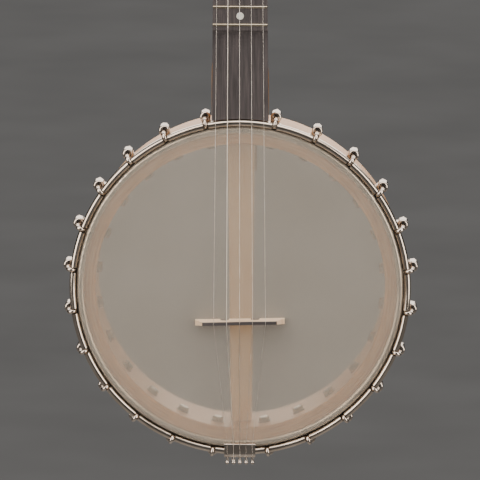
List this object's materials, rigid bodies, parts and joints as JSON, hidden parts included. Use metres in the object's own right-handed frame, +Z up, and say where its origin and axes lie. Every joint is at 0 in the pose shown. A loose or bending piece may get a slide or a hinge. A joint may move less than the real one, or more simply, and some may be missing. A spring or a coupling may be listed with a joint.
{
  "type": "five-string open-back banjo",
  "caption": "Open-back banjo with a frosted head, notched tension hoop and round hooks, maple rim and neck, scooped ebony fingerboard and geared pegs.",
  "frame": {"origin": "where the yoke of a wall hanger holds the neck, at the waist below the headstock, on the centre line of the strings", "axes": "+Z up along the neck from the tailpiece to the headstock, -Y out of the front of the head, +X to the viewer's right across the strings"},
  "size_m": [0.3038, 0.113, 0.9618],
  "materials": {
    "rim_maple": "hard maple, oiled satin finish",
    "dowel_maple": "hard maple, pale satin finish",
    "bridge_maple": "unfinished hard maple",
    "ebony": "oiled ebony, satin",
    "head_film": "frosted polyester film",
    "plated_brass": "nickel plate over drawn brass rod, satin",
    "hoop_metal": "nickel plate over brass, polished",
    "nickel_plate": "nickel plate, polished",
    "fastener_steel": "nickel-plated steel",
    "flesh_aluminium": "mill finish",
    "fret_wire": "nickel silver, polished crown",
    "string_steel": "plain drawn steel",
    "wound_string": "nickel wound",
    "bone": "polished bone",
    "pearl": "mother of pearl",
    "ivoroid": "moulded ivory-coloured plastic, polished"
  },
  "bodies": {
    "root": {"brace_screw": "fastener_steel", "bracket_hooks": "nickel_plate", "bracket_nuts": "nickel_plate", "bracket_shoes": "nickel_plate", "bridge_body": "bridge_maple", "bridge_cap": "ebony", "dowel_stick": "dowel_maple", "end_bolt": "fastener_steel", "end_nuts": "fastener_steel", "end_washer": "fastener_steel", "fifth_peg_housing": "nickel_plate", "fifth_string_nut": "bone", "fingerboard": "ebony", "flesh_hoop": "flesh_aluminium", "frets": "fret_wire", "head": "head_film", "headstock_overlay": "ebony", "heel_cap": "ebony", "neck": "rim_maple", "neck_brace": "nickel_plate", "nut": "bone", "position_dots": "pearl", "rim": "rim_maple", "shoe_bolts": "fastener_steel", "shoe_washers": "fastener_steel", "side_dots": "pearl", "string_1": "string_steel", "string_2": "string_steel", "string_3": "string_steel", "string_4": "wound_string", "string_5": "string_steel", "tailpiece": "nickel_plate", "tension_hoop": "hoop_metal", "tone_ring": "plated_brass", "truss_cover": "ebony", "truss_cover_screws": "fastener_steel", "truss_rod": "fastener_steel", "tuner_housings": "nickel_plate", "tuner_nuts": "nickel_plate", "tuner_washers": "nickel_plate"},
    "button_1": {"tuner_button_1": "ivoroid"},
    "post_1": {"string_post_1": "nickel_plate", "post_winding_1": "string_steel"},
    "button_2": {"tuner_button_2": "ivoroid"},
    "post_2": {"string_post_2": "nickel_plate", "post_winding_2": "string_steel"},
    "button_3": {"tuner_button_3": "ivoroid"},
    "post_3": {"string_post_3": "nickel_plate", "post_winding_3": "string_steel"},
    "button_4": {"tuner_button_4": "ivoroid"},
    "post_4": {"string_post_4": "nickel_plate", "post_winding_4": "wound_string"},
    "button_5": {"tuner_button_5": "ivoroid"},
    "post_5": {"string_post_5": "nickel_plate", "post_winding_5": "string_steel"}
  },
  "joints": [
    {"name": "button_1_turn", "type": "hinge", "parent": "root", "child": "button_1", "pos_m": [0.02035, 0.03984, 0.02476], "axis": [0, -0.9613, 0.2756], "continuous": true},
    {"name": "post_1_turn", "type": "hinge", "parent": "root", "child": "post_1", "pos_m": [0.02035, 0.00716, 0.03413], "axis": [0, -0.9613, 0.2756], "continuous": true},
    {"name": "button_2_turn", "type": "hinge", "parent": "root", "child": "button_2", "pos_m": [0.02235, 0.05087, 0.06321], "axis": [0, -0.9613, 0.2756], "continuous": true},
    {"name": "post_2_turn", "type": "hinge", "parent": "root", "child": "post_2", "pos_m": [0.02235, 0.01819, 0.07258], "axis": [0, -0.9613, 0.2756], "continuous": true},
    {"name": "button_3_turn", "type": "hinge", "parent": "root", "child": "button_3", "pos_m": [-0.01565, 0.05087, 0.06321], "axis": [0, -0.9613, 0.2756], "continuous": true},
    {"name": "post_3_turn", "type": "hinge", "parent": "root", "child": "post_3", "pos_m": [-0.01565, 0.01819, 0.07258], "axis": [0, -0.9613, 0.2756], "continuous": true},
    {"name": "button_4_turn", "type": "hinge", "parent": "root", "child": "button_4", "pos_m": [-0.01365, 0.03984, 0.02476], "axis": [0, -0.9613, 0.2756], "continuous": true},
    {"name": "post_4_turn", "type": "hinge", "parent": "root", "child": "post_4", "pos_m": [-0.01365, 0.00716, 0.03413], "axis": [0, -0.9613, 0.2756], "continuous": true},
    {"name": "button_5_turn", "type": "hinge", "parent": "root", "child": "button_5", "pos_m": [-0.05061, -0.00805, -0.15883], "axis": [1, 0, 0], "continuous": true},
    {"name": "post_5_turn", "type": "hinge", "parent": "root", "child": "post_5", "pos_m": [-0.02661, -0.00805, -0.15883], "axis": [1, 0, 0], "continuous": true}
  ],
  "couplings": [
    {"joint": "post_1_turn", "follows": "button_1_turn", "ratio": 0.25},
    {"joint": "post_2_turn", "follows": "button_2_turn", "ratio": 0.25},
    {"joint": "post_3_turn", "follows": "button_3_turn", "ratio": 0.25},
    {"joint": "post_4_turn", "follows": "button_4_turn", "ratio": 0.25},
    {"joint": "post_5_turn", "follows": "button_5_turn", "ratio": 0.25}
  ]
}
